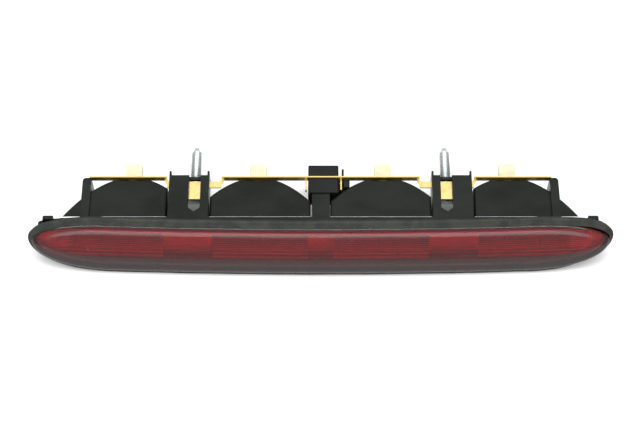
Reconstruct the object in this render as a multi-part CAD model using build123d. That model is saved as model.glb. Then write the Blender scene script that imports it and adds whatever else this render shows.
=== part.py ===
from build123d import *
import os

# A high-level (third) brake light: a long raked lens unit that closes a slot in a boot lid,
# carried by two M6 studs, with four wedge-base bulbs in trough reflectors behind the lens.
#
# +X runs along the lamp, +Y points into the car (the way the studs stand) and +Z is up.
# The origin is midway between the studs, on the plane where the bracket ears meet the panel.
# All sizes are in millimetres.

# ---- lens outline, seen along Y ----
LENS_HALF_LENGTH = 161.0
LENS_TOP = 9.0
LENS_BOTTOM = -14.0
TIP_HEIGHT = 0.0                 # height of the pointed end
LOWER_CORNER = 43.0              # length of the long lower corner curve
UPPER_CORNER = 40.0              # length of the upper corner curve

# ---- the raked face ----
FACE_FOOT = -54.2                # Y of the lens edge at its lowest point, in the middle of the lamp
RAKE = 0.652                     # Y gained for each mm of height
BOW_RADIUS = 4000.0              # the face curves gently back towards both ends
BOW_HALF_TURN = 2.6              # degrees of the bow, more than reaches both ends
DOME = 3.5                       # how far the lens bulges in front of its edge
DOME_FLAT = 118.0                # half length over which the bulge is constant
LENS_WALL = 2.4
LENS_SKIRT = 3.0                 # depth of the lens edge
FLANGE_INSET = 0.3
FLANGE = 1.2                     # thickness of the frame's flange behind the lens

# ---- gasket ----
LIP_OUT = 2.2                    # the lip stands outside the lens edge by this much
LIP_FRONT = 0.8
LIP_REAR = 2.8
GASKET_WRAP = 0.9
GASKET_REAR = 4.9
GASKET_IN = 2.4

# ---- frame box behind the flange ----
BOX_INSET = 2.6                  # the box walls stand this far inside the lens outline
BOX_WALL = 1.4
BOX_REAR = -30.0                 # rear face of the frame

# ---- reflector bowls ----
STUD_PITCH = 142.0
BULB_PITCH = STUD_PITCH / 2
BULB_AXIS = -2.5                 # height of the bulb axes
FOCAL_LENGTH = 14.0
BOWL_APEX = -3.0                 # where the outer parabola would close
BOWL_FLAT = -5.0                 # rear face of the flattened bowl
BOWL_HALF_HEIGHT = 7.7
BOWL_TAPER = 0.008               # half height lost for each mm towards the apex
BOWL_EDGE = 1.5                  # rounding of the outer edges
BOWL_SKIN = 1.2
MIRROR_SKIN = 0.5
MIRROR_LIP = 0.8                 # thickness of the bright lip between frame and bowls
PLATE_INSET = 4.0                # the bright front plate stands this far inside the lens outline
PLATE_FRONT = 2.4
INNER_BOWL_ENDS = (5.6, 62.2)
OUTER_BOWL_ENDS = (86.2, 151.5)
BULB_HOLE_R = 5.8

# ---- brackets, rails and posts ----
BRACKET_ENDS = (62.9, 85.5)
BRACKET_TOP = 6.4
BRACKET_BOTTOM = -6.0
PLATE = 1.8
SIDE_WALL = 1.1
PLATE_REAR = -2.8
SLOT_WIDTH = 6.6
SLOT_FRONT = -24.0
SLOT_POINT = -26.4
BRIDGE_TOP = 4.4                 # the strap over the stud, where it leaves the bracket
BRIDGE_FRONT = -4.6
SADDLE_Y = (-13.6, -11.1)        # the rib that the stud's head pulls against
SADDLE_TOP = 2.9
TONGUE_CLEARANCE = 0.2
POST_ENDS = (129.3, 134.2)
POST_REAR = -4.8
POST_FRONT = -11.0
POST_CORNER = 2.0
RAIL_TOP = 6.8
RAIL_BOTTOM = -12.0
RAIL_GAP = 0.2                   # between the rails and the bowl they pass
PILLAR_X = (-4.8, 5.2)
PILLAR_TOP = 5.0
HOOK_X = (149.3, 155.3)
HOOK_Y = (-31.2, -28.9)
HOOK_Z = (0.6, 5.8)
HOOK_ROUND = 1.4

# ---- contact strip ----
STRIP = 0.8
STRIP_REAR = -3.8
STRIP_HEIGHT = 3.8
STRIP_GAP = 5.7                  # from the bulb axis to the near edge of the strip
STRIP_HALF_LENGTH = 130.4
TONGUE_Z = 3.2
TONGUE_Y = (-9.6, -5.6)
TONGUE_ENDS = (56.0, 86.8)
PAD_Y = (-17.1, -5.8)
PAD_HALF_WIDTH = 3.2
FOLD = 1.4                       # width of each fold between the rail and a tongue
TAB_X = ((-8.6, -7.8), (11.2, 12.0))
TAB_FRONT = -11.2
TAB_Z = (1.6, 4.4)

# ---- studs ----
STUD_R = 3.0                     # over the thread
SHANK_R = 2.65                   # the plain shank inside the bracket
THREAD_FRONT = -1.5
STUD_REACH = 18.4                # length standing beyond the panel
STUD_HEAD_X = 9.0
STUD_HEAD_Y = (-16.6, -13.6)
STUD_HEAD_Z = 6.2
HEAD_CORNER = 0.8
POINT_R = 2.1
POINT_LENGTH = 2.0
CONE_LENGTH = 0.9

# ---- bulbs and holders ----
GLASS_R = 4.8
GLASS_WALL = 0.6
GLASS_TIP = -28.0
GLASS_FOOT = -11.3
BARREL_R = 5.4
HOLDER_FLANGE = (14.0, 1.2, 10.6)
GRIP_WIDTH = 9.7
GRIP_HEIGHT = 8.0
GRIP_REAR = 8.1
GRIP_CORNER = 0.7
GRIP_FOOT = 2.0                  # length of the wider foot of the grip
GRIP_FOOT_STEP = 0.5
WEDGE = (9.2, 8.0, 2.4)
WEDGE_FIT = 0.1                  # clearance round the wedge in its pocket
SPRING_HALF_WIDTH = 2.2
SPRING = 0.4
SPRING_GAP = 0.05
SPRING_OVERLAP = 2.6
WIRE_R = 0.25
COIL_R = 0.4
COIL_HALF_LENGTH = 2.0

# ---- connector ----
CONNECTOR_X = (-7.0, 10.2)
CONNECTOR_Y = (-14.0, 3.8)
CONNECTOR_Z = (-7.8, 6.0)
SOCKET_WALL = 1.5
SOCKET_FRONT = -2.8
SOCKET_CORNER = 0.6
PIN_X = (-2.4, 1.6, 5.6)
PIN_Y = (-12.0, 1.0)
PIN_Z = -3.2
PIN_HALF_WIDTH = 0.4
PIN_HALF_HEIGHT = 1.4
REST_Y = (-9.4, -5.0)            # side rest that carries the strip
REST_X = (10.0, 16.5)
REST_HORN_X = 13.1
REST_Z = (-5.0, -0.8)
REST_HORN_TOP = 4.2
FINGER_X = (12.0, 13.2)          # latch finger beside the socket
FINGER_ROOT_X = 9.6
FINGER_Y = (-3.7, 1.6)
FINGER_ROOT = 0.8
FINGER_Z = (-3.0, 5.6)

FAR = 200.0                      # longer than anything in the lamp


# ---------------------------------------------------------------- helpers

def block(x, y, z):
    """A box given by its limits along the three axes."""
    size = [abs(high - low) for low, high in (x, y, z)]
    centre = [(low + high) / 2 for low, high in (x, y, z)]
    return Pos(*centre) * Box(*size)


def mirrored(x, side):
    """An X range on the chosen side of the lamp, low end first."""
    return tuple(sorted((side * x[0], side * x[1])))


def rod(radius, start, end):
    """A round bar along Y between two points of the same X and Z."""
    x, y, z = start
    length = end - y
    return Pos(x, y + length / 2, z) * Rot(90, 0, 0) * Cylinder(radius, abs(length))


def along_x(profile):
    """A closed profile in Y and Z, stretched along the whole lamp."""
    return extrude(Plane.YZ * profile, amount=FAR, both=True)


def outline(inset):
    """The lens outline, moved inwards by inset (outwards when negative)."""
    low_x = LENS_HALF_LENGTH - LOWER_CORNER
    high_x = LENS_HALF_LENGTH - UPPER_CORNER
    low_r = (LOWER_CORNER - inset, TIP_HEIGHT - LENS_BOTTOM - inset)
    high_r = (UPPER_CORNER - inset, LENS_TOP - TIP_HEIGHT - inset)
    bottom = LENS_BOTTOM + inset
    top = LENS_TOP - inset
    edges = Line((-low_x, bottom), (low_x, bottom))
    edges += EllipticalCenterArc((low_x, TIP_HEIGHT), *low_r, start_angle=270, arc_size=90)
    edges += EllipticalCenterArc((high_x, TIP_HEIGHT), *high_r, start_angle=0, arc_size=90)
    edges += Line((high_x, top), (-high_x, top))
    edges += EllipticalCenterArc((-high_x, TIP_HEIGHT), *high_r, start_angle=90, arc_size=90)
    edges += EllipticalCenterArc((-low_x, TIP_HEIGHT), *low_r, start_angle=180, arc_size=90)
    return make_face(edges)


def outline_prism(inset, front=-FAR, rear=FAR):
    """The outline drawn out along Y, the way the tool opens."""
    start = Plane((0, rear, 0), x_dir=(1, 0, 0), z_dir=(0, -1, 0))
    return extrude(start * outline(inset), amount=rear - front)


def face_y(height, depth=0.0):
    """Y of the raked face at a height, moved rearwards by depth."""
    return FACE_FOOT + RAKE * (height - LENS_BOTTOM) + depth


def bowed(profile):
    """A closed profile in Y and Z, carried along the lamp on the bow of the lens."""
    slant = (1 + RAKE ** 2) ** 0.5
    centre = (0, FACE_FOOT + BOW_RADIUS / slant, LENS_BOTTOM - BOW_RADIUS * RAKE / slant)
    axis = Axis(centre, (0, RAKE, 1))
    start = (Plane.YZ * profile).rotate(axis, -BOW_HALF_TURN)
    return revolve(start, axis, revolution_arc=2 * BOW_HALF_TURN)


def raked_slab(front, rear):
    """Everything between two bowed sheets parallel to the raked face."""
    reach = 40
    corners = [
        (face_y(-reach, front), -reach),
        (face_y(-reach, rear), -reach),
        (face_y(reach, rear), reach),
        (face_y(reach, front), reach),
    ]
    return bowed(make_face(Polyline(*corners, close=True)))


def raked_layer(inset, front, rear):
    """A slice of the outline prism between two bowed sheets."""
    return outline_prism(inset) & raked_slab(front, rear)


def raked_ring(outer, inner, front, rear):
    return raked_layer(outer, front, rear) - outline_prism(inner)


# ---------------------------------------------------------------- lens and gasket

def dome(inset, sink):
    """The bulging body of the lens: full in the middle, falling away to its ends."""
    low, high = LENS_BOTTOM + inset, LENS_TOP - inset
    middle = (low + high) / 2
    rise = DOME - sink
    arc = ThreePointArc(
        (face_y(low, sink), low),
        (face_y(middle, sink) - DOME, middle),
        (face_y(high, sink), high),
    )
    back = Polyline(arc @ 1, (face_y(high, 60), high), (face_y(low, 60), low), arc @ 0)
    section = bowed(make_face(arc + back))

    up_the_face = Plane((0, FACE_FOOT, LENS_BOTTOM), x_dir=(1, 0, 0), z_dir=(0, RAKE, 1))
    half = LENS_HALF_LENGTH + 1
    shoulder = DOME_FLAT + (half - DOME_FLAT) * 0.55
    crown_end = DOME_FLAT ** 2 / (2 * BOW_RADIUS) - rise
    tip = sink + 1 + half ** 2 / (2 * BOW_RADIUS)
    bend = crown_end + (shoulder - DOME_FLAT) * DOME_FLAT / BOW_RADIUS
    ends = Polyline((-half, tip), (-half, 80), (half, 80), (half, tip))
    crown = ThreePointArc((-DOME_FLAT, crown_end), (0, -rise), (DOME_FLAT, crown_end))
    fall_right = Bezier((DOME_FLAT, crown_end), (shoulder, bend), (half, tip))
    fall_left = Bezier((-half, tip), (-shoulder, bend), (-DOME_FLAT, crown_end))
    plan = make_face(ends + crown + fall_right + fall_left)
    body = extrude(up_the_face * plan, amount=FAR, both=True)
    return outline_prism(inset) & section & body


def make_lens():
    """A one-piece red cap: a domed window with a short skirt all round."""
    outer = dome(0, 0) & raked_slab(-20, LENS_SKIRT)
    skirt_hollow = raked_layer(LENS_WALL, 1.0, LENS_SKIRT + 1)
    return outer - dome(LENS_WALL, LENS_WALL) - skirt_hollow


def make_gasket():
    """A moulded rubber trim that grips the edge of the flange and seals behind it."""
    flange_rear = LENS_SKIRT + FLANGE
    lip = raked_ring(-LIP_OUT, 0, LIP_FRONT, LIP_REAR)
    wrap = raked_ring(-GASKET_WRAP, 0, LIP_REAR, flange_rear)
    seal = raked_ring(-GASKET_WRAP, GASKET_IN, flange_rear, GASKET_REAR)
    return lip + wrap + seal


# ---------------------------------------------------------------- reflector bowls

def parabola_body(centre, skin):
    """A trough with a parabolic plan, flattened at the back and open to the front."""
    reach = 50.0
    apex = BOWL_APEX - skin
    sag = reach ** 2 / (4 * FOCAL_LENGTH)
    curve = Bezier((-reach, apex - sag), (0, apex + sag), (reach, apex - sag))
    rest = Polyline((reach, apex - sag), (reach, -FAR), (-reach, -FAR), (-reach, apex - sag))
    trough = extrude(make_face(curve + rest), amount=FAR, both=True)
    behind = block((-FAR, FAR), (BOWL_FLAT - skin, FAR), (-FAR, FAR))
    return Pos(centre, 0, 0) * (trough - behind)


def height_wedge(skin):
    """Top and bottom walls that close slightly from the lens to the apex."""
    def half(y):
        return BOWL_HALF_HEIGHT - skin - BOWL_TAPER * (y - BOX_REAR)

    near, far = -60, 0
    corners = [
        (near, BULB_AXIS - half(near)),
        (far, BULB_AXIS - half(far)),
        (far, BULB_AXIS + half(far)),
        (near, BULB_AXIS + half(near)),
    ]
    return along_x(make_face(Polyline(*corners, close=True)))


def bowls(skin):
    """The four bowls as solid cores, each shrunk by skin and running forward past the flange."""
    cores = []
    inset = BOX_INSET + BOX_WALL + 0.1 - BOWL_SKIN + skin
    limit = height_wedge(skin) & (outline_prism(inset, rear=BOX_REAR) + slice_y(BOX_REAR, 1))
    for station in bulb_stations():
        near, far = OUTER_BOWL_ENDS if abs(station) > BULB_PITCH else INNER_BOWL_ENDS
        reach = mirrored((near + skin, far - skin), 1 if station > 0 else -1)
        window = block(reach, (-FAR, 0), (-FAR, FAR))
        cores.append(parabola_body(station, skin) & limit & window)
    return cores


def bulb_stations():
    return [step * BULB_PITCH for step in (-1.5, -0.5, 0.5, 1.5)]


def cut_bulb_holes(body):
    for x in bulb_stations():
        body -= rod(BULB_HOLE_R, (x, BOWL_FLAT - 4, BULB_AXIS), 0)
    return body


def slice_y(front, rear):
    """Everything between two planes across the lamp."""
    return block((-FAR, FAR), (front, rear), (-FAR, FAR))


def rounded_bowl(core):
    """A bowl's outside, with the long edges of its top and bottom walls rounded."""
    shell = core & slice_y(BOX_REAR + MIRROR_LIP, 0)
    long_edges = [
        edge for edge in shell.edges()
        if abs(edge.center().Z - BULB_AXIS) > BOWL_HALF_HEIGHT - 0.6 and edge.center().Y > BOX_REAR + 2
    ]
    return fillet(long_edges, BOWL_EDGE)


def make_bowl(core, hollow):
    """One black bowl, which stands on the rear wall of the frame."""
    return cut_bulb_holes(rounded_bowl(core) - hollow)


def make_reflector(core, skin, hollow):
    """The bright metallised insert of one bowl, which hangs from a lip behind the frame."""
    lip = core & slice_y(BOX_REAR, BOX_REAR + MIRROR_LIP)
    liner = skin & raked_slab(LENS_SKIRT, FAR)
    return cut_bulb_holes(lip + liner - hollow)


def make_front_plate():
    """The bright raked plate on the flange, which frames the four bowl mouths behind the lens."""
    body = raked_layer(PLATE_INSET, PLATE_FRONT, LENS_SKIRT)
    for hollow in bowls(BOWL_SKIN + MIRROR_SKIN):
        body -= hollow
    return body


# ---------------------------------------------------------------- mounting frame

def bracket(side):
    """A channel with a slotted top plate; its side walls end in ears that meet the panel."""
    root = BOX_REAR - 0.5
    wide = mirrored(BRACKET_ENDS, side)
    body = block(wide, (root, PLATE_REAR), (BRACKET_TOP - PLATE, BRACKET_TOP))
    for edge, inward in zip(wide, (SIDE_WALL, -SIDE_WALL)):
        wall = tuple(sorted((edge, edge + inward)))
        body += block(wall, (root, 0), (BRACKET_BOTTOM, BRACKET_TOP))
    stud_x = side * STUD_PITCH / 2
    half = SLOT_WIDTH / 2
    slot = make_face(Polyline(
        (stud_x - half, 1), (stud_x - half, SLOT_FRONT), (stud_x, SLOT_POINT),
        (stud_x + half, SLOT_FRONT), (stud_x + half, 1), close=True,
    ))
    body -= extrude(slot, amount=BRACKET_TOP + 1)
    body += block(wide, SADDLE_Y, (BRACKET_BOTTOM, SADDLE_TOP))
    body += block(wide, (BRIDGE_FRONT, PLATE_REAR), (BRACKET_BOTTOM, BRIDGE_TOP))
    body -= rod(SHANK_R + 0.1, (stud_x, SADDLE_Y[0] - 1, 0), 1)
    notch_x = (BRACKET_ENDS[0] - 1, BRACKET_ENDS[1] + 1)
    notch_y = (TONGUE_Y[0] - TONGUE_CLEARANCE, TONGUE_Y[1] + TONGUE_CLEARANCE)
    notch_z = (TONGUE_Z - TONGUE_CLEARANCE, TONGUE_Z + STRIP + TONGUE_CLEARANCE)
    return body - block(mirrored(notch_x, side), notch_y, notch_z)


def end_post(side):
    """Rails over and under the outer bowl, closed by a post behind it."""
    wide = mirrored(POST_ENDS, side)
    bowl_top = BULB_AXIS + BOWL_HALF_HEIGHT + RAIL_GAP
    bowl_floor = BULB_AXIS - BOWL_HALF_HEIGHT - RAIL_GAP
    root = BOX_REAR - BOX_WALL
    body = block(wide, (root, POST_REAR), (bowl_top, RAIL_TOP))
    body += block(wide, (root, POST_REAR), (RAIL_BOTTOM, bowl_floor))
    body += block(wide, (root, BOX_REAR), (RAIL_BOTTOM, RAIL_TOP))
    body += block(wide, (POST_FRONT, POST_REAR), (RAIL_BOTTOM, RAIL_TOP))
    rear_edges = body.edges().filter_by(Axis.Z).sort_by(Axis.Y)[-2:].sort_by(Axis.X)
    return fillet(rear_edges[0 if side < 0 else -1], POST_CORNER)


def end_hook(side):
    """A small hook near the lamp's tip that catches the edge of the panel cut-out."""
    body = block(mirrored(HOOK_X, side), HOOK_Y, HOOK_Z)
    top_edges = body.edges().filter_by(Axis.Y).sort_by(Axis.Z)[-2:].sort_by(Axis.X)
    return fillet(top_edges[0 if side < 0 else -1], HOOK_ROUND)


def make_frame():
    """The black carrier moulding: flange, box, brackets, posts, pillar and hooks."""
    flange_rear = LENS_SKIRT + FLANGE
    inner = BOX_INSET + BOX_WALL
    mid_flange = LENS_SKIRT + FLANGE / 2
    body = raked_layer(FLANGE_INSET, LENS_SKIRT, flange_rear)
    body += outline_prism(BOX_INSET, rear=BOX_REAR) & raked_slab(mid_flange, FAR)
    body -= outline_prism(inner, rear=BOX_REAR - BOX_WALL)
    for side in (-1, 1):
        body += bracket(side)
        body += end_post(side)
        body += end_hook(side)
    body += block(PILLAR_X, (BOX_REAR - 0.5, CONNECTOR_Y[0]), (BRACKET_BOTTOM, PILLAR_TOP))
    wall = slice_y(BOX_REAR - BOX_WALL, BOX_REAR)
    for core in bowls(BOWL_SKIN):
        body -= core & wall
    return body


# ---------------------------------------------------------------- contact strip and studs

def make_strip():
    """Pressed brass rail over the bulbs, dropping to flat pads that pass over the studs."""
    low = BULB_AXIS + STRIP_GAP
    rail_z = (low, low + STRIP_HEIGHT)
    rail_front = STRIP_REAR - STRIP
    rail_y = (rail_front, STRIP_REAR)
    tongue_z = (TONGUE_Z, TONGUE_Z + STRIP)
    near, far = TONGUE_ENDS
    body = block((-near, near), rail_y, rail_z)
    for side in (-1, 1):
        body += block(mirrored((far, STRIP_HALF_LENGTH), side), rail_y, rail_z)
        body += block(mirrored(TONGUE_ENDS, side), TONGUE_Y, tongue_z)
        stud_x = side * STUD_PITCH / 2
        body += block((stud_x - PAD_HALF_WIDTH, stud_x + PAD_HALF_WIDTH), PAD_Y, tongue_z)
        for start, outward in ((near, -FOLD), (far, FOLD)):
            slant = make_face(Polyline(
                (side * (start - outward), TONGUE_Y[0]), (side * (start + outward), rail_front - FOLD / 2),
                (side * (start + outward), STRIP_REAR), (side * (start - outward), TONGUE_Y[1]), close=True,
            ))
            body += extrude(Pos(0, 0, TONGUE_Z) * slant, amount=STRIP, dir=(0, 0, 1))
    for x in TAB_X:
        body += block(x, (TAB_FRONT, rail_front), TAB_Z)
    return body


def make_stud(side):
    """M6 stud: a flat-sided head behind the saddle, a plain shank, the thread and a dog point."""
    x = side * STUD_PITCH / 2
    half_x, half_z = STUD_HEAD_X / 2, STUD_HEAD_Z / 2
    head = block((x - half_x, x + half_x), STUD_HEAD_Y, (-half_z, half_z))
    head = chamfer(head.edges().filter_by(Axis.Y), HEAD_CORNER)
    shank = rod(SHANK_R, (x, STUD_HEAD_Y[1], 0), THREAD_FRONT)
    thread_rear = STUD_REACH - POINT_LENGTH - CONE_LENGTH
    thread = rod(STUD_R, (x, THREAD_FRONT, 0), thread_rear)
    cone = Pos(x, thread_rear + CONE_LENGTH / 2, 0) * Rot(-90, 0, 0) * Cone(STUD_R, POINT_R, CONE_LENGTH)
    point = rod(POINT_R, (x, thread_rear + CONE_LENGTH, 0), STUD_REACH)
    point = fillet(point.edges().sort_by(Axis.Y)[-1], 0.5)
    return head + shank + thread + cone + point


# ---------------------------------------------------------------- connector

def pins():
    """Three blade terminals, as separate solids."""
    pin_z = (PIN_Z - PIN_HALF_HEIGHT, PIN_Z + PIN_HALF_HEIGHT)
    return [block((x - PIN_HALF_WIDTH, x + PIN_HALF_WIDTH), PIN_Y, pin_z) for x in PIN_X]


def make_connector():
    """The plug socket, open to the rear, with a latch finger and a side rest for the strip."""
    body = block(CONNECTOR_X, CONNECTOR_Y, CONNECTOR_Z)
    body = chamfer(body.edges().filter_by(Axis.Y), SOCKET_CORNER)
    inner_x = (CONNECTOR_X[0] + SOCKET_WALL, CONNECTOR_X[1] - SOCKET_WALL)
    inner_z = (CONNECTOR_Z[0] + SOCKET_WALL, CONNECTOR_Z[1] - SOCKET_WALL)
    body -= block(inner_x, (SOCKET_FRONT, CONNECTOR_Y[1] + 1), inner_z)
    body += block(REST_X, REST_Y, REST_Z)
    body += block((REST_HORN_X, REST_X[1]), REST_Y, (REST_Z[0], REST_HORN_TOP))
    body += block((FINGER_ROOT_X, FINGER_X[1]), (FINGER_Y[0], FINGER_Y[0] + FINGER_ROOT), FINGER_Z)
    body += block(FINGER_X, FINGER_Y, FINGER_Z)
    strip_y = (STRIP_REAR - STRIP - 0.1, STRIP_REAR + 0.1)
    body -= block((-FAR, FINGER_X[1] + 0.1), strip_y, (BULB_AXIS + STRIP_GAP - 0.1, FAR))
    for x in TAB_X:
        body -= block((x[0] - 0.1, x[1] + 0.1), (TAB_FRONT - 0.1, STRIP_REAR), (TAB_Z[0] - 0.1, FAR))
    for pin in pins():
        body -= pin
    return body


# ---------------------------------------------------------------- bulbs and holders

def round_x(centre, half):
    """A range that reaches half to each side of a centre."""
    return (centre - half, centre + half)


def make_holder(x):
    """Ivory nylon holder: a barrel through the bowl, a flange on its back and a grip."""
    z = BULB_AXIS
    wide, deep, tall = HOLDER_FLANGE
    rear = BOWL_FLAT + deep
    barrel = rod(BARREL_R, (x, GLASS_FOOT + 0.3, z), rear)
    flange = block(round_x(x, wide / 2), (BOWL_FLAT + 0.05, rear), round_x(z, tall / 2))
    flange = fillet(flange.edges().filter_by(Axis.Y), 1.5)
    half = GRIP_WIDTH / 2
    grip_z = round_x(z, GRIP_HEIGHT / 2)
    grip = block(round_x(x, half), (rear, GRIP_REAR), grip_z)
    grip = chamfer(grip.edges().filter_by(Axis.Y), GRIP_CORNER)
    foot = block(round_x(x, half + GRIP_FOOT_STEP), (rear, rear + GRIP_FOOT), grip_z)
    pocket_x, _, pocket_z = (size / 2 + WEDGE_FIT for size in WEDGE)
    pocket_y = (GLASS_FOOT, GLASS_FOOT + WEDGE[1] + 0.4)
    pocket = block(round_x(x, pocket_x), pocket_y, round_x(z, pocket_z))
    return barrel + flange + grip + foot - pocket


def make_contact(x):
    """A brass spring on the holder that meets the strip as the holder is pushed home."""
    near = BULB_AXIS + GRIP_HEIGHT / 2 + 0.02
    far = BULB_AXIS + STRIP_GAP + SPRING_OVERLAP
    front = STRIP_REAR + SPRING_GAP
    wide = round_x(x, SPRING_HALF_WIDTH)
    leaf = block(wide, (front, front + SPRING), (near, far))
    foot = block(wide, (front, front + 3 * SPRING), (near, near + SPRING))
    return leaf + foot


def glass_envelope(radius, foot, tip):
    """A round tube closed by a dome, for the outside and the hollow of a bulb."""
    dome_start = tip + radius
    shell = rod(radius, (0, dome_start, 0), foot)
    return shell + Pos(0, dome_start, 0) * Sphere(radius)


def make_glass(x):
    """A clear wedge-base bulb envelope, hollow down to its pinch."""
    outer = glass_envelope(GLASS_R, GLASS_FOOT, GLASS_TIP)
    inner = glass_envelope(GLASS_R - GLASS_WALL, GLASS_FOOT - 1.2, GLASS_TIP + GLASS_WALL)
    wedge_y = (GLASS_FOOT - 0.2, GLASS_FOOT + WEDGE[1])
    wedge = block(round_x(0, WEDGE[0] / 2), wedge_y, round_x(0, WEDGE[2] / 2))
    return Pos(x, 0, BULB_AXIS) * (outer - inner + wedge)


def make_filament(x):
    """Two lead wires standing on the pinch with the coil stretched between their tips."""
    coil_y = BOWL_APEX - FOCAL_LENGTH - 1.0
    body = Pos(0, coil_y, 0) * Rot(0, 90, 0) * Cylinder(COIL_R, 2 * COIL_HALF_LENGTH)
    for end in round_x(0, COIL_HALF_LENGTH):
        body += rod(WIRE_R, (end, coil_y, 0), GLASS_FOOT - 1.2)
    return Pos(x, 0, BULB_AXIS) * body


# ---------------------------------------------------------------- write the sub-parts

def save(name, shape):
    solids = shape if isinstance(shape, list) else shape.solids()
    whole = solids[0] if len(solids) == 1 else Compound(children=list(solids))
    export_step(whole, f"parts/{name}.step")
    print(name, "solids", len(solids), "volume", round(sum(solid.volume for solid in solids)))


os.makedirs("parts", exist_ok=True)

save("lens", make_lens())
save("gasket", make_gasket())
save("mounting_frame", make_frame())
save("reflector_plate", make_front_plate())
save("contact_strip", make_strip())
save("stud_left", make_stud(-1))
save("stud_right", make_stud(1))
save("connector_housing", make_connector())
save("connector_pins", pins())
bowl_layers = zip(bowls(0), bowls(BOWL_SKIN), bowls(BOWL_SKIN + MIRROR_SKIN))
for number, (core, skin, hollow) in enumerate(bowl_layers, start=1):
    save(f"bowl_{number}", make_bowl(core, skin))
    save(f"reflector_{number}", make_reflector(core, skin, hollow))
for number, station in enumerate(bulb_stations(), start=1):
    save(f"bulb_holder_{number}", make_holder(station))
    save(f"holder_contact_{number}", make_contact(station))
    save(f"bulb_glass_{number}", make_glass(station))
    save(f"bulb_filament_{number}", make_filament(station))
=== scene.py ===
# %% [markdown]
# # A third brake light, seen as its maker would finish it
#
# The lamp is a long red lens on a black carrier. Behind it are four bulbs in trough reflectors,
# brass contact rails and two studs. The engineering model already fixes every size and joint, so
# this lesson only gives each piece its true surface. We load that model first and measure it.

# %% Load the lamp
import math

import bmesh
import bpy
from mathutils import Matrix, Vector, noise


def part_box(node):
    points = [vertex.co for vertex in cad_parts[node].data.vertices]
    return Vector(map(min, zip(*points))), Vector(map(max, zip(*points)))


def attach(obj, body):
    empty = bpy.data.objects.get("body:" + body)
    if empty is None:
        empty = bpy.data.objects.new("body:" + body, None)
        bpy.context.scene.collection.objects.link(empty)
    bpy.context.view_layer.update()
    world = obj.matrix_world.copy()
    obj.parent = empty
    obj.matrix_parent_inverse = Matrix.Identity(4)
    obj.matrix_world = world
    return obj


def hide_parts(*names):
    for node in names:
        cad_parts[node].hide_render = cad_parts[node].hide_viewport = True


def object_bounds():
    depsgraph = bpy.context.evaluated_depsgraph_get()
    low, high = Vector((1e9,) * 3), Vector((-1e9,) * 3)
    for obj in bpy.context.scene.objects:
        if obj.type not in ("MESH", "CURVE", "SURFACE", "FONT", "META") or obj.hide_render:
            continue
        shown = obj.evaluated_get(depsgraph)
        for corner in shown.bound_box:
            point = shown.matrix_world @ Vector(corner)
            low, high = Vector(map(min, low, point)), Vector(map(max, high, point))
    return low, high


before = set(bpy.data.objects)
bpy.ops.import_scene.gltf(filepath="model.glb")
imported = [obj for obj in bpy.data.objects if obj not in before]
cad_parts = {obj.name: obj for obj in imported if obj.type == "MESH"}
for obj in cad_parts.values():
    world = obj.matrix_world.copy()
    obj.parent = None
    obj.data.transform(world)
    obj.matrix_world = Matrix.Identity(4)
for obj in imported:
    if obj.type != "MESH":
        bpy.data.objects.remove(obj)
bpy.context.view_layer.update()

MM = 0.001

# %% [markdown]
# ## The camera
#
# The lamp lies as it sits in the car, its studs pointing away from us, and we look down on it
# from the front at about sixty degrees. A long lens from a little under a metre keeps the
# sides nearly parallel, as a catalogue picture does.

# %% Camera
LOOK_DOWN = math.radians(60)
CAMERA_DISTANCE = 0.90
LOOK_AT = Vector((-0.0003, -0.0242, 0.0))

camera_data = bpy.data.cameras.new("camera")
camera_data.lens = 90
camera = bpy.data.objects.new("camera", camera_data)
bpy.context.collection.objects.link(camera)
toward_camera = Vector((0, -math.cos(LOOK_DOWN), math.sin(LOOK_DOWN)))
camera.location = LOOK_AT + toward_camera * CAMERA_DISTANCE
camera.rotation_euler = (-toward_camera).to_track_quat("-Z", "Y").to_euler()
bpy.context.scene.camera = camera
bpy.context.scene.view_settings.view_transform = "Standard"
print("camera at", [round(v, 3) for v in camera.location])

# %% [markdown]
# ## Shader sums
#
# A finish is a small calculation over the surface: noise here, a darker edge there. Wiring
# that by hand is hard to read, so one class wraps a socket and lets Python's own operators
# add the Math nodes. Its node method makes every other kind of node.

# %% A socket that can be added and multiplied
class Wire:
    """One output socket of a material. Sums on it add Math nodes to the material."""

    def __init__(self, tree, socket=None):
        self.tree = tree
        self.socket = socket

    def node(self, kind, settings=None, inputs=None, output=0):
        """Adds a node of any kind: its settings first, then values or wires for its inputs."""
        made = self.tree.nodes.new("ShaderNode" + kind)
        for key, value in (settings or {}).items():
            if key == "stops":
                set_stops(made.color_ramp, value)
            else:
                setattr(made, key, value)
        for name, value in (inputs or {}).items():
            if isinstance(value, Wire):
                self.tree.links.new(value.socket, made.inputs[name])
            else:
                made.inputs[name].default_value = value
        return Wire(self.tree, made.outputs[output] if len(made.outputs) else None)

    def math(self, operation, *values):
        return self.node("Math", {"operation": operation}, dict(enumerate(values)))

    def __add__(self, other):
        return self.math("ADD", self, other)

    __radd__ = __add__

    def __mul__(self, other):
        return self.math("MULTIPLY", self, other)

    __rmul__ = __mul__

    def __sub__(self, other):
        return self.math("SUBTRACT", self, other)

    def __rsub__(self, other):
        return self.math("SUBTRACT", other, self)

    def over(self, low, high):
        """0 below low, 1 above high, and a smooth rise between."""
        inputs = {"Value": self, "From Min": low, "From Max": high}
        return self.node("MapRange", {"interpolation_type": "SMOOTHSTEP"}, inputs)

    def mix(self, dark, light):
        """The colour dark where this wire is 0, and light where it is 1."""
        return self.node("Mix", {"data_type": "RGBA"}, {0: self, 6: dark, 7: light}, output=2)


def set_stops(ramp, stops):
    while len(ramp.elements) < len(stops):
        ramp.elements.new(0.5)
    for element, (place, colour) in zip(ramp.elements, stops):
        element.position = place
        element.color = colour


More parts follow.
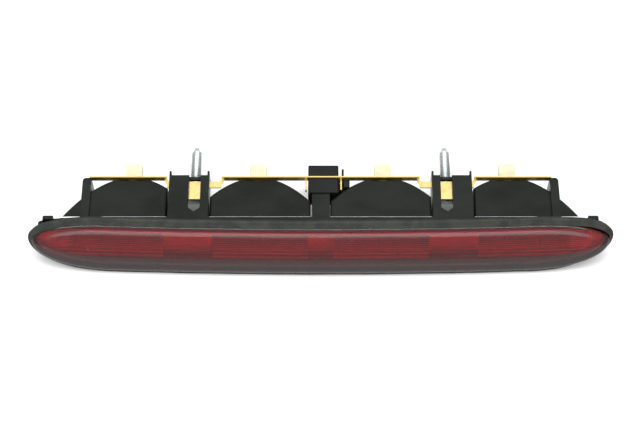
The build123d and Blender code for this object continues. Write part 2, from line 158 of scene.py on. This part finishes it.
# %% [markdown]
# Each finish starts from the same three things: the place on the lamp in metres, noise of a
# chosen grain size, and the shader that takes the result. Grain size is given in
# millimetres, because that is how one sees it on the bench.

# %% Starting points for every finish
def grain(start, size_mm, detail=3.0, stretch=(1, 1, 1), rough=0.55):
    """Noise from 0 to 1 whose features are about size_mm across; stretch squeezes it."""
    place = start.node("TexCoord", output=3)
    scaled = start.node("Mapping", {}, {"Vector": place, "Scale": stretch})
    return start.node("TexNoise", {}, {"Vector": scaled, "Scale": 1 / (size_mm * MM),
                                       "Detail": detail, "Roughness": rough})


def bump(start, height, depth_mm, strength=1.0, normal=None):
    inputs = {"Height": height, "Distance": depth_mm * MM, "Strength": strength}
    if normal is not None:
        inputs["Normal"] = normal
    return start.node("Bump", {}, inputs)


def new_finish(name):
    material = bpy.data.materials.new(name)
    material.use_nodes = True
    material.node_tree.nodes.clear()
    return material, Wire(material.node_tree)


def close_finish(start, **sockets):
    """Feeds the shader: words with underscores are the socket names of the Principled node."""
    inputs = {name.replace("_", " "): value for name, value in sockets.items()}
    shader = start.node("BsdfPrincipled", {}, inputs)
    start.node("OutputMaterial", {}, {"Surface": shader})


# %% [markdown]
# ## Black moulded plastic
#
# The carrier and the bowls are injection moulded in black plastic. Close to, it is a
# greenish dark grey: a fine spark-eroded grain breaks up the shine, flow marks vary the
# gloss, and corners catch the light because no tool leaves them perfectly sharp. A bevel on
# the shading normal gives those soft corners without touching the solid.

# %% Black plastic
def moulded_plastic(name, dark, light, gloss, corner_mm=0.3):
    material, start = new_finish(name)
    flow = grain(start, 14, detail=2, stretch=(0.5, 1, 1))
    dust = grain(start, 0.9, detail=5).over(0.62, 0.76)
    tone = flow.over(0.3, 0.7).mix(dark, light)
    colour = (dust * 0.3).mix(tone, (0.05, 0.055, 0.048, 1))
    soft_corner = start.node("Bevel", {"samples": 4}, {"Radius": corner_mm * MM})
    surface = grain(start, 0.35, detail=2) * 0.6 + grain(start, 2.5) * 0.4
    close_finish(start, Base_Color=colour, Roughness=gloss + flow * 0.16 + dust * 0.15,
                 Specular_IOR_Level=0.18, Normal=bump(start, surface, 0.03, normal=soft_corner))
    return material


frame_black = moulded_plastic(
    "frame_black", (0.0045, 0.006, 0.0045, 1), (0.009, 0.012, 0.009, 1), gloss=0.26)
bowl_black = moulded_plastic(
    "bowl_black", (0.004, 0.0055, 0.004, 1), (0.008, 0.011, 0.008, 1), gloss=0.24)
socket_black = moulded_plastic(
    "socket_black", (0.004, 0.0045, 0.0045, 1), (0.008, 0.009, 0.009, 1), gloss=0.32)
print("black plastics ready")

# %% [markdown]
# ## Rubber
#
# The gasket is carbon-filled rubber: duller than the plastic, slightly paler, and always
# holding some dust and talc from its mould. Small pale specks and a rough, open grain say
# rubber more than its colour does.

# %% Gasket rubber
def make_rubber():
    material, start = new_finish("gasket_rubber")
    cloud = grain(start, 9, detail=3)
    talc = grain(start, 0.55, detail=4).over(0.62, 0.72)
    tone = cloud.over(0.35, 0.65).mix((0.013, 0.016, 0.012, 1), (0.027, 0.031, 0.025, 1))
    colour = (talc * 0.55).mix(tone, (0.17, 0.175, 0.15, 1))
    open_grain = grain(start, 0.3, detail=4) * 0.7 + cloud * 0.3
    close_finish(start, Base_Color=colour, Roughness=0.55 + talc * 0.25, Specular_IOR_Level=0.3,
                 Normal=bump(start, open_grain, 0.05))
    return material


gasket_rubber = make_rubber()

# %% [markdown]
# ## Metals
#
# Three metals show. Brass strip is rolled, so its fine lines run along the strip, and it
# tarnishes in soft patches. The studs are zinc plated, a cool grey with a slight cloud. The
# reflector is plastic with a vacuum coat of aluminium, which copies every ripple below it.

# %% Brass, zinc, tin and the bright coat
def metal(name, clean, dull, gloss, line_mm, stretch, depth_mm, patch=(0.45, 0.75)):
    material, start = new_finish(name)
    stain = grain(start, 6, detail=4).over(*patch)
    lines = grain(start, line_mm, detail=3, stretch=stretch)
    close_finish(start, Base_Color=stain.mix(clean, dull), Metallic=1.0 - stain * 0.12,
                 Roughness=gloss + lines * 0.14 + stain * 0.12,
                 Normal=bump(start, lines, depth_mm))
    return material


brass = metal("brass", (0.86, 0.66, 0.27, 1), (0.60, 0.43, 0.16, 1), 0.22, 0.25, (0.05, 1, 1), 0.012)
zinc = metal("zinc", (0.72, 0.77, 0.77, 1), (0.50, 0.55, 0.55, 1), 0.20, 0.6, (1, 1, 1), 0.01)
tin = metal("tin", (0.78, 0.77, 0.73, 1), (0.60, 0.58, 0.52, 1), 0.24, 0.3, (1, 0.1, 1), 0.01)
tungsten = metal("tungsten", (0.36, 0.36, 0.38, 1), (0.20, 0.20, 0.22, 1), 0.35, 0.1, (1, 1, 1), 0.005)
bright_bowl = metal("bright_bowl", (0.92, 0.92, 0.92, 1), (0.84, 0.85, 0.86, 1), 0.22, 3.0,
                    (1, 1, 1), 0.02, patch=(0.6, 0.9))
bright_plate = metal("bright_plate", (0.34, 0.34, 0.34, 1), (0.28, 0.28, 0.28, 1), 0.34, 3.0,
                     (1, 1, 1), 0.02, patch=(0.5, 0.8))
print("metals ready")

# %% [markdown]
# ## Ivory nylon, clear glass
#
# The bulb holders are natural nylon. Light sinks into it before it comes back, so a little
# subsurface scattering keeps it from looking like painted wood. The bulbs are plain clear
# glass, with only faint waves in the wall.

# %% Nylon and glass
def make_nylon():
    material, start = new_finish("holder_ivory")
    cloud = grain(start, 5, detail=3)
    colour = cloud.over(0.3, 0.7).mix((0.64, 0.63, 0.42, 1), (0.73, 0.72, 0.53, 1))
    surface = grain(start, 0.4, detail=3) * 0.5 + cloud * 0.5
    close_finish(start, Base_Color=colour, Roughness=0.36 + cloud * 0.2, Subsurface_Weight=0.25,
                 Subsurface_Radius=(0.9, 0.8, 0.5), Subsurface_Scale=0.002,
                 Normal=bump(start, surface, 0.03))
    return material


def make_glass():
    material, start = new_finish("bulb_glass")
    wave = grain(start, 4, detail=2)
    close_finish(start, Base_Color=(0.98, 0.99, 0.99, 1), Roughness=wave * 0.03,
                 Transmission_Weight=1.0, IOR=1.5, Normal=bump(start, wave, 0.05))
    return material


holder_ivory = make_nylon()
bulb_glass = make_glass()

# %% [markdown]
# ## Red acrylic
#
# The lens is red all through, like stained glass. Light passes it on the way in and again on
# the way out, so only the zone in front of the reflectors glows. Its lower third stands before
# the black box and looks brown. That light and shade are painted into the colour by height:
# clear red in front of the reflectors, a band of painted shade, a thin painted highlight line,
# then painted shade deepening from maroon to brown, and a painted highlight spot near each end.

# %% Lens red
LIT_RED = (0.80, 0.045, 0.065, 1)
# Painted shade for the dark band below the glowing zone.
SHADE_BAND_DARK = (0.30, 0.030, 0.035, 1)
# Painted shade, maroon to brown, for the lens's lower part.
MAROON_SHADE = (0.40, 0.035, 0.040, 1)
BROWN_SHADE = (0.10, 0.045, 0.035, 1)
# Painted highlight for the bright spots near the lens's ends.
HIGHLIGHT_RED = (1.0, 0.10, 0.14, 1)


def band(place, low_mm, high_mm, edge_mm=0.3):
    """1 between two places in millimetres, fading to 0 over a short edge."""
    rise = place.over((low_mm - edge_mm) * MM, low_mm * MM)
    return rise * (1.0 - place.over(high_mm * MM, (high_mm + edge_mm) * MM))


def make_lens_red():
    material, start = new_finish("lens_red")
    place = start.node("TexCoord", output=3)
    height = start.node("SeparateXYZ", {}, {"Vector": place}, output=2)
    along = start.node("SeparateXYZ", {}, {"Vector": place}, output=0)
    from_middle = along.math("ABSOLUTE", along)
    haze = grain(start, 12, detail=3, stretch=(0.4, 1, 1))
    scuff = grain(start, 0.8, detail=6, stretch=(0.25, 1, 1)).over(0.64, 0.78)
    # Painted shade: the lens colour darkens from maroon to brown towards its foot.
    painted_shade_tone = height.over(-11.5 * MM, -4.0 * MM).mix(BROWN_SHADE, MAROON_SHADE)
    # Painted shade: a dark band just below the glowing zone.
    painted_shade_band = band(height, -2.6, -1.8)
    # Painted highlight: a thin bright red line just below the dark band.
    painted_highlight_line = band(height, -3.7, -3.0)
    colour = height.over(-2.2 * MM, -1.6 * MM).mix(painted_shade_tone, LIT_RED)
    colour = painted_shade_band.mix(colour, SHADE_BAND_DARK)
    colour = (painted_highlight_line * (0.6 + haze * 0.4)).mix(colour, LIT_RED)
    # Painted highlight: a bright red spot near each end of the lens.
    painted_end_highlight = band(from_middle, 141, 149, edge_mm=5) * band(height, 0.5, 4.5, edge_mm=2)
    colour = painted_end_highlight.mix(colour, HIGHLIGHT_RED)
    close_finish(start, Base_Color=colour, Roughness=0.14 + haze * 0.05 + scuff * 0.12,
                 Transmission_Weight=1.0, IOR=1.49, Specular_IOR_Level=0.08,
                 Coat_Weight=0.15, Coat_Roughness=0.05, Normal=bump(start, haze, 0.03))
    return material


lens_red = make_lens_red()
print("clear and translucent finishes ready")

# %% [markdown]
# ## Dressing the engineering pieces
#
# The carrier, bowls, rails, reflector, socket and pins already have their true shapes, so
# they only need the finishes above. The rest of the lesson replaces the pieces whose shape
# the engineering model keeps simple: lens, gasket, studs, holders and bulbs.

# %% Finishes on the kept pieces
BULBS = range(1, 5)
KEPT = {
    "mounting_frame": frame_black,
    "reflector_plate": bright_plate,
    "contact_strip": brass,
    "connector_housing": socket_black,
    "connector_pins": tin,
}
for number in BULBS:
    KEPT[f"bowl_{number}"] = bowl_black
    KEPT[f"reflector_{number}"] = bright_bowl
    KEPT[f"holder_contact_{number}"] = brass
    KEPT[f"bulb_filament_{number}"] = tungsten


def dress(piece, material):
    piece.data.materials.clear()
    piece.data.materials.append(material)


for node, material in KEPT.items():
    dress(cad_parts[node], material)
print("dressed", len(KEPT), "kept pieces")

# %% [markdown]
# ## Making a piece
#
# Every new piece is a list of points and faces. This helper turns them into an object,
# smooths it, gives it a finish, ties it to the body it moves with, and hides the engineering
# node it stands for.

# %% Helper for new pieces
def add_piece(name, points, faces, material, body, replaced, smooth=True):
    mesh = bpy.data.meshes.new(name)
    mesh.from_pydata([tuple(p) for p in points], [], faces)
    shell = bmesh.new()
    shell.from_mesh(mesh)
    bmesh.ops.remove_doubles(shell, verts=shell.verts, dist=1e-7)
    bmesh.ops.recalc_face_normals(shell, faces=shell.faces)
    shell.to_mesh(mesh)
    shell.free()
    if smooth:
        mesh.shade_smooth()
    piece = bpy.data.objects.new(name, mesh)
    bpy.context.collection.objects.link(piece)
    mesh.materials.append(material)
    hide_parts(*replaced)
    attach(piece, body)
    print(name, len(mesh.vertices), "points")
    return piece


def sheet_faces(rows, columns, first=0, wrap=False):
    """Quads between neighbouring rows of points, joined round when wrap is set."""
    faces = []
    last = columns if wrap else columns - 1
    for row in range(rows - 1):
        for column in range(last):
            a = first + row * columns + column
            b = first + row * columns + (column + 1) % columns
            faces.append((a, b, b + columns, a + columns))
    return faces


# %% [markdown]
# ## The lens outline
#
# Seen square on, the lens is a long bar with a tight curve at its upper corners and a long
# one at its lower corners. All of it lies on a raked face. Its length, top and bottom come
# from the lens node's box; the corners and the rake are given numbers, the rake taken from
# the two edges of its skirt.

# %% Outline and face
lens_low, lens_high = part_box("lens")
HALF_LENGTH = (lens_high.x - lens_low.x) / 2
TOP, BOTTOM = lens_high.z, lens_low.z
TIP_Z = TOP - 9 * MM
LOWER_CORNER = 43 * MM
UPPER_CORNER = 40 * MM
RAKE = 0.652
SKIRT = 3 * MM
BOW_RADIUS = 4.0
FACE_FOOT = -54.2 * MM


def face_y(x, z, depth=0.0):
    """Y of the raked and bowed face; a positive depth goes into the lamp."""
    bow = x * x / (2 * BOW_RADIUS) * math.sqrt(1 + RAKE * RAKE)
    return FACE_FOOT + RAKE * (z - BOTTOM) + bow + depth


def half_width(z, inset):
    """Half the outline's length at a height, for an outline moved inwards by inset."""
    if z < TIP_Z:
        corner, reach = LOWER_CORNER - inset, TIP_Z - BOTTOM - inset
    else:
        corner, reach = UPPER_CORNER - inset, TOP - TIP_Z - inset
    rise = min(abs(z - TIP_Z) / reach, 1.0)
    return HALF_LENGTH - inset - corner + corner * math.sqrt(max(1 - rise * rise, 0.0))


def depth_inside(x, z):
    """How far a point lies inside the outline, found by halving."""
    low, high = 0.0, (TOP - BOTTOM) / 2 - 0.01 * MM
    for _ in range(18):
        inset = (low + high) / 2
        inside = BOTTOM + inset <= z <= TOP - inset and abs(x) <= half_width(z, inset)
        low, high = (inset, high) if inside else (low, inset)
    return low


print("lens is", round(2 * HALF_LENGTH / MM, 1), "mm long")

# %% [markdown]
# ## The lens
#
# The lens is one closed shell: a domed front, a fluted back and a short skirt. The front
# rolls over quickly at the edge and then crowns gently. The back carries fine horizontal
# flutes, which smear each bulb's light along the lamp. Both sheets share one layout of rows
# and columns, so their borders can be stitched through the skirt.

# %% Lens shell
EDGE_ROLL = 3.2 * MM
ROLL_DEPTH = 1.8 * MM
CROWN = 1.5 * MM
CROWN_REACH = 11.5 * MM           # half the lens's height, where the crown is full
LENS_WALL = 2.4 * MM
FLUTE_DEPTH = 0.28 * MM
FLUTES = 21
ROWS_PER_FLUTE = 6
LENS_COLUMNS = 120


def front_rise(inset):
    """How far the front stands proud of the face, for a point inset from the outline."""
    roll = 1 - min(inset / EDGE_ROLL, 1.0)
    reach = 1 - min(inset / CROWN_REACH, 1.0)
    return ROLL_DEPTH * math.sqrt(max(1 - roll * roll, 0.0)) + CROWN * (1 - reach * reach)


def lens_sheet(inset, back):
    rows = FLUTES * ROWS_PER_FLUTE + 1
    points = []
    for row in range(rows):
        share = row / (rows - 1)
        if not back:
            share = 0.5 - 0.5 * math.cos(math.pi * share)
        z = BOTTOM + inset + (TOP - BOTTOM - 2 * inset) * share
        wide = half_width(z, inset)
        for column in range(LENS_COLUMNS):
            x = wide * math.sin(math.pi / 2 * (2 * column / (LENS_COLUMNS - 1) - 1))
            rise = front_rise(depth_inside(x, z) if not back else depth_inside(x, z) - inset)
            y = face_y(x, z) - rise
            if back:
                fade = min((depth_inside(x, z) - inset) / MM, 1.0)
                y += LENS_WALL - FLUTE_DEPTH * fade * math.sin(math.pi * share * FLUTES) ** 2
            points.append((x, y, z))
    return points, rows


def border(rows, columns):
    """The indices round a sheet's edge, in order."""
    bottom = list(range(columns))
    right = [row * columns + columns - 1 for row in range(1, rows)]
    top = [(rows - 1) * columns + column for column in range(columns - 2, -1, -1)]
    left = [row * columns for row in range(rows - 2, 0, -1)]
    return bottom + right + top + left


def make_lens():
    front, rows = lens_sheet(0.0, back=False)
    back, _ = lens_sheet(LENS_WALL, back=True)
    points = front + back
    faces = sheet_faces(rows, LENS_COLUMNS) + sheet_faces(rows, LENS_COLUMNS, first=len(front))
    ring = border(rows, LENS_COLUMNS)
    outer_rim = len(points)
    points += [(front[i][0], face_y(front[i][0], front[i][2], SKIRT), front[i][2]) for i in ring]
    inner_rim = len(points)
    points += [(back[i][0], face_y(back[i][0], back[i][2], SKIRT), back[i][2]) for i in ring]
    loops = [ring, list(range(outer_rim, inner_rim)), list(range(inner_rim, len(points))),
             [i + len(front) for i in ring]]
    for one, two in zip(loops, loops[1:]):
        for k in range(len(ring)):
            j = (k + 1) % len(ring)
            faces.append((one[k], one[j], two[j], two[k]))
    return add_piece("lens_shell", points, faces, lens_red, "lamp", ["lens"])


lens = make_lens()

# %% [markdown]
# ## The gasket
#
# The gasket is a moulded trim of one section, so it is swept: the section's points are
# carried round the outline, each at its own offset and depth. Its lip has a thin edge that
# laps onto the lens, a raised bead, and soft corners throughout. Rubber never sits perfectly, and
# at the lamp's right end it has crept up and away from the lens.

# %% Gasket sweep
GASKET_SECTION = (
    (0.05, 2.8), (0.05, 0.5), (0.0, 0.1), (-0.05, -0.15), (0.1, -0.3), (0.45, 0.0), (0.8, 0.35),
    (1.2, 0.6), (1.6, 0.75),
    (1.95, 0.90), (2.2, 1.3), (2.25, 1.8), (2.15, 2.4), (1.8, 2.75), (1.25, 2.9), (1.0, 3.3),
    (0.9, 3.8), (0.85, 4.5), (0.5, 4.8), (-0.2, 4.88), (-1.2, 4.88), (-2.1, 4.88), (-2.35, 4.7),
    (-2.35, 4.3), (-2.1, 4.22), (-0.6, 4.22), (0.0, 4.0),
)
ROUND_STEPS = 44
LONG_STEPS = 60
WAVE = 0.15 * MM                  # how far moulding leaves the rubber uneven
CREEP_START = 0.130               # metres along the lamp to where the rubber has moved
CREEP_LENGTH = 0.030
CREEP_BACK = 0.9 * MM
CREEP_UP = 1.3 * MM


def outline_stations():
    """(start, turn) pairs that describe the outline: a side of it, or an angle on a corner."""
    stations = []
    for side, quarter in ((1, "low"), (1, "high"), (-1, "high"), (-1, "low")):
        angles = [math.pi / 2 * step / ROUND_STEPS for step in range(ROUND_STEPS + 1)]
        rising = (quarter == "low") == (side == 1)
        for angle in angles if rising else reversed(angles):
            stations.append((side, quarter, angle))
    return stations


def on_outline(station, offset):
    """The (x, z) of a station on the outline moved outwards by offset."""
    side, quarter, angle = station
    if quarter == "low":
        corner, reach, down = LOWER_CORNER, TIP_Z - BOTTOM, -1
    else:
        corner, reach, down = UPPER_CORNER, TOP - TIP_Z, 1
    x = HALF_LENGTH - corner + (corner + offset) * math.sin(angle)
    return side * x, TIP_Z + down * (reach + offset) * math.cos(angle)


def creep(x):
    """How far the gasket has crept at the right-hand end, from 0 to 1."""
    share = min(max((x - CREEP_START) / CREEP_LENGTH, 0.0), 1.0)
    return share * share * (3 - 2 * share)


def make_gasket():
    stations = outline_stations()
    long_runs = {len(stations) // 2 - 1, len(stations) - 1}
    points = []
    count = 0
    for index, station in enumerate(stations):
        following = stations[(index + 1) % len(stations)]
        steps = LONG_STEPS if index in long_runs else 1
        for step in range(steps):
            share = step / steps
            count += 1
            for out, depth in GASKET_SECTION:
                x0, z0 = on_outline(station, out * MM)
                x1, z1 = on_outline(following, out * MM)
                x, z = x0 + (x1 - x0) * share, z0 + (z1 - z0) * share
                wave = noise.noise(Vector((x * 60, z * 60, 3.0))) * WAVE
                loose = creep(x)
                y = face_y(x, z, depth * MM) + wave + loose * CREEP_BACK
                points.append((x, y, z + wave + loose * CREEP_UP))
    faces = sheet_faces(count, len(GASKET_SECTION), wrap=True)
    last = (count - 1) * len(GASKET_SECTION)
    for column in range(len(GASKET_SECTION)):
        beside = (column + 1) % len(GASKET_SECTION)
        faces.append((last + column, last + beside, beside, column))
    return add_piece("gasket_rim", points, faces, gasket_rubber, "lamp", ["gasket"])


gasket = make_gasket()

# %% [markdown]
# ## The studs
#
# A stud is a turned part, so every ring of points is a circle whose radius depends on how
# far along it lies. For the thread, the radius also depends on the angle: the groove climbs
# one pitch in each turn. The dog point and its cone guide the nut on in the dark of a boot.

# %% Studs
THREAD_PITCH = 1.0 * MM
THREAD_RADIUS = 3 * MM
THREAD_DEPTH = 0.45 * MM
THREAD_START = -1.5 * MM
SHANK = 2.65 * MM
STUD_SIDES = 40
HEAD_THICKNESS = 3 * MM
HEAD_CORNER = 0.8 * MM
POINT_REACH = 2.9                # mm from the tip back to the last of the thread
# (distance back from the tip, radius) in mm: the cone, then the dog point with its round end
STUD_POINT = (
    (POINT_REACH, 2.9), (2.6, 2.6), (2.1, 2.15), (1.9, 2.1), (0.5, 2.1), (0.15, 1.95), (0.0, 1.6),
)


def thread_groove(turns):
    """Depth of the groove as a share of full depth, for a place counted in turns."""
    place = abs((turns % 1.0) * 2 - 1)
    return min(max((place - 0.12) / 0.76, 0.0), 1.0)


def add_stud(node):
    low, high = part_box(node)
    centre_x = (low.x + high.x) / 2
    head_rear = low.y + HEAD_THICKNESS
    tip = high.y
    rows = [(head_rear, SHANK, False), (THREAD_START - MM, SHANK, False)]
    y = THREAD_START
    while y < tip - POINT_REACH * MM:
        rows.append((y, THREAD_RADIUS, True))
        y += THREAD_PITCH / 10
    for back, size in STUD_POINT:
        rows.append((tip - back * MM, size * MM, back == POINT_REACH))
    points = []
    for y, size, threaded in rows:
        for step in range(STUD_SIDES):
            turn = step / STUD_SIDES
            cut = THREAD_DEPTH * thread_groove(y / THREAD_PITCH - turn) if threaded else 0
            angle = 2 * math.pi * turn
            reach = size - cut
            points.append((centre_x + reach * math.cos(angle), y, reach * math.sin(angle)))
    faces = sheet_faces(len(rows), STUD_SIDES, wrap=True)
    faces.append(tuple(range(STUD_SIDES)))
    faces.append(tuple(len(points) - STUD_SIDES + step for step in range(STUD_SIDES)))
    first = len(points)
    head = ((0, 0.86), (0.12, 1.0), (0.85, 1.0), (1.0, 0.9))
    for share, size in head:
        wide, tall = (high.x - low.x) / 2 * size, high.z * size
        cut = HEAD_CORNER * size
        y = low.y + (head_rear - low.y) * share
        ring = ((wide, tall - cut), (wide - cut, tall), (cut - wide, tall), (-wide, tall - cut),
                (-wide, cut - tall), (cut - wide, -tall), (wide - cut, -tall), (wide, cut - tall))
        points += [(centre_x + x, y, z) for x, z in ring]
    faces += sheet_faces(len(head), 8, first=first, wrap=True)
    faces.append(tuple(range(first, first + 8)))
    faces.append(tuple(range(len(points) - 8, len(points))))
    return add_piece(node + "_threaded", points, faces, zinc, "lamp", [node])


for node in ("stud_left", "stud_right"):
    add_stud(node)

# %% [markdown]
# ## Loops of points
#
# Holders and bulbs are stacks of loops: a superellipse that starts round and ends square
# covers a glass tube, its flattened pinch, a barrel and a grip. One helper lofts a list of
# stations, each giving its place along Y, its half width, its half height and its squareness.

# %% Loft helper
LOOP_POINTS = 48


def loop(centre, y, half_x, half_z, square):
    """A closed loop in a plane across Y; square 2 is an ellipse, 8 is nearly a rectangle."""
    ring = []
    for step in range(LOOP_POINTS):
        angle = 2 * math.pi * step / LOOP_POINTS
        c, s = math.cos(angle), math.sin(angle)
        x = half_x * math.copysign(abs(c) ** (2 / square), c)
        z = half_z * math.copysign(abs(s) ** (2 / square), s)
        ring.append((centre[0] + x, y, centre[1] + z))
    return ring


def loft(centre, stations, first=0):
    """Points and faces of a closed body through the stations, capped at both ends."""
    points = [p for station in stations for p in loop(centre, *station)]
    faces = sheet_faces(len(stations), LOOP_POINTS, first=first, wrap=True)
    faces.append(tuple(range(first, first + LOOP_POINTS)))
    last = first + len(points)
    faces.append(tuple(range(last - LOOP_POINTS, last)))
    return points, faces


def in_mm(rows):
    return [(y * MM, a * MM, b * MM, square) for y, a, b, square in rows]


# %% [markdown]
# ## The bulb holders
#
# A holder is pushed in from behind by its grip, so the grip is what one sees: an ivory
# block, slightly narrower at its end, with a thumb hollow on each broad side and a wider
# foot. Two ribs along the hollow's edges stiffen it. The flange below seals the bulb hole.

# %% Holders
HOLDER_Z = -2.5
HOLDER_BODY = in_mm([
    (-11.0, 4.9, 4.9, 2), (-10.6, 5.35, 5.35, 2), (-5.4, 5.4, 5.4, 2), (-4.94, 5.4, 5.3, 2),
    (-4.93, 6.6, 4.9, 5), (-4.75, 7.0, 5.3, 5), (-4.0, 7.0, 5.3, 5), (-3.81, 6.7, 5.0, 5),
    (-3.80, 5.3, 3.95, 9), (-3.6, 5.35, 4.0, 9), (-2.1, 5.3, 4.0, 9), (-1.8, 4.85, 3.95, 9),
    (7.2, 4.75, 3.9, 9), (7.8, 4.6, 3.75, 7), (8.05, 4.2, 3.3, 6),
])
GRIP_HOLLOW = 0.55 * MM


def hollow_grip(points, centre):
    """Presses a thumb hollow into both broad sides of the grip, between two ribs."""
    shaped = []
    for x, y, z in points:
        across = abs(x - centre[0]) / (4.85 * MM)
        along = (y - 2.9 * MM) / (4.6 * MM)
        reach = max(1 - across ** 6, 0) * max(1 - along ** 6, 0)
        z -= math.copysign(GRIP_HOLLOW * reach, z - centre[1])
        shaped.append((x, y, z))
    return shaped


def add_holder(number):
    low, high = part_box(f"bulb_holder_{number}")
    centre = ((low.x + high.x) / 2, HOLDER_Z * MM)
    stations = list(HOLDER_BODY)
    for step in range(1, 12):
        share = step / 12
        stations.append(((-1.8 + 9 * share) * MM, (4.85 - 0.1 * share) * MM, (3.95 - 0.05 * share) * MM, 9))
    stations.sort()
    points, faces = loft(centre, stations)
    return add_piece(f"holder_{number}", hollow_grip(points, centre), faces, holder_ivory,
                     f"holder_unit_{number}", [f"bulb_holder_{number}"])


# %% [markdown]
# ## The bulbs
#
# A wedge bulb is one piece of glass tube: domed at the tip, then pinched flat while hot
# round the lead wires. The hollow stops where the pinch begins. The flat pinch has a shallow
# notch round it that clicks into the holder.

# %% Bulbs
GLASS_TIP_Y = -28.0
GLASS_BASE_Y = -3.4


def dome_stations(radius, tip, rows=9):
    """Stations of a half sphere that starts at the tip."""
    stations = []
    for row in range(1, rows + 1):
        angle = math.pi / 2 * row / rows
        size = radius * math.sin(angle)
        stations.append((tip + radius * (1 - math.cos(angle)), size, size, 2))
    return stations


def add_bulb(number):
    low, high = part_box(f"bulb_glass_{number}")
    centre = ((low.x + high.x) / 2, HOLDER_Z * MM)
    outer = dome_stations(4.8, GLASS_TIP_Y) + [
        (-16.0, 4.8, 4.8, 2), (-14.0, 4.75, 4.4, 2.1), (-12.6, 4.7, 3.2, 2.4), (-11.4, 4.6, 1.7, 3.5),
        (-10.6, 4.6, 1.15, 5), (-7.5, 4.55, 1.15, 6), (-7.2, 4.4, 1.0, 6), (-6.8, 4.4, 1.0, 6),
        (-6.5, 4.55, 1.15, 6), (-3.7, 4.5, 1.15, 6), (GLASS_BASE_Y, 4.2, 0.9, 5),
    ]
    inner = dome_stations(4.2, GLASS_TIP_Y + 0.6) + [
        (-16.0, 4.2, 4.2, 2), (-14.4, 4.1, 3.6, 2.1), (-13.4, 3.6, 2.2, 2.4), (-12.9, 2.2, 0.8, 2.4),
    ]
    points, faces = loft(centre, in_mm(outer))
    more, more_faces = loft(centre, in_mm(inner), first=len(points))
    return add_piece(f"bulb_{number}_glass", points + more, faces + more_faces, bulb_glass,
                     f"bulb_{number}", [f"bulb_glass_{number}"])


for number in BULBS:
    add_holder(number)
    add_bulb(number)

# %% [markdown]
# ## Floor, lights and finish
#
# The lamp lies on a white table under broad soft lights, so its shadow is only a breath of
# grey under the two raised ends.

# %% Studio
floor_points = [(-3, -3), (3, -3), (3, 3), (-3, 3)]
floor_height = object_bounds()[0].z
floor_mesh = bpy.data.meshes.new("floor")
floor_mesh.from_pydata([(x, y, floor_height) for x, y in floor_points], [], [(0, 1, 2, 3)])
floor = bpy.data.objects.new("floor", floor_mesh)
bpy.context.collection.objects.link(floor)
paper, start = new_finish("table")
mottle = grain(start, 30, detail=2)
paper_white = mottle.mix((0.93, 0.93, 0.93, 1), (0.96, 0.96, 0.96, 1))
close_finish(start, Base_Color=paper_white, Roughness=0.6 + mottle * 0.2)
floor_mesh.materials.append(paper)

world = bpy.data.worlds.new("studio")
world.use_nodes = True
world.node_tree.nodes["Background"].inputs["Color"].default_value = (1, 1, 1, 1)
world.node_tree.nodes["Background"].inputs["Strength"].default_value = 0.75
bpy.context.scene.world = world


def soft_light(name, place, size, power):
    data = bpy.data.lights.new(name, "AREA")
    data.shape = "RECTANGLE"
    data.size, data.size_y = size
    data.energy = power
    light = bpy.data.objects.new(name, data)
    light.location = place
    light.rotation_euler = (LOOK_AT - Vector(place)).to_track_quat("-Z", "Y").to_euler()
    bpy.context.collection.objects.link(light)


soft_light("overhead", (0, 0.1, 1.3), (1.6, 0.8), 16)
soft_light("front", (0, -1.3, 0.9), (1.4, 0.5), 6)
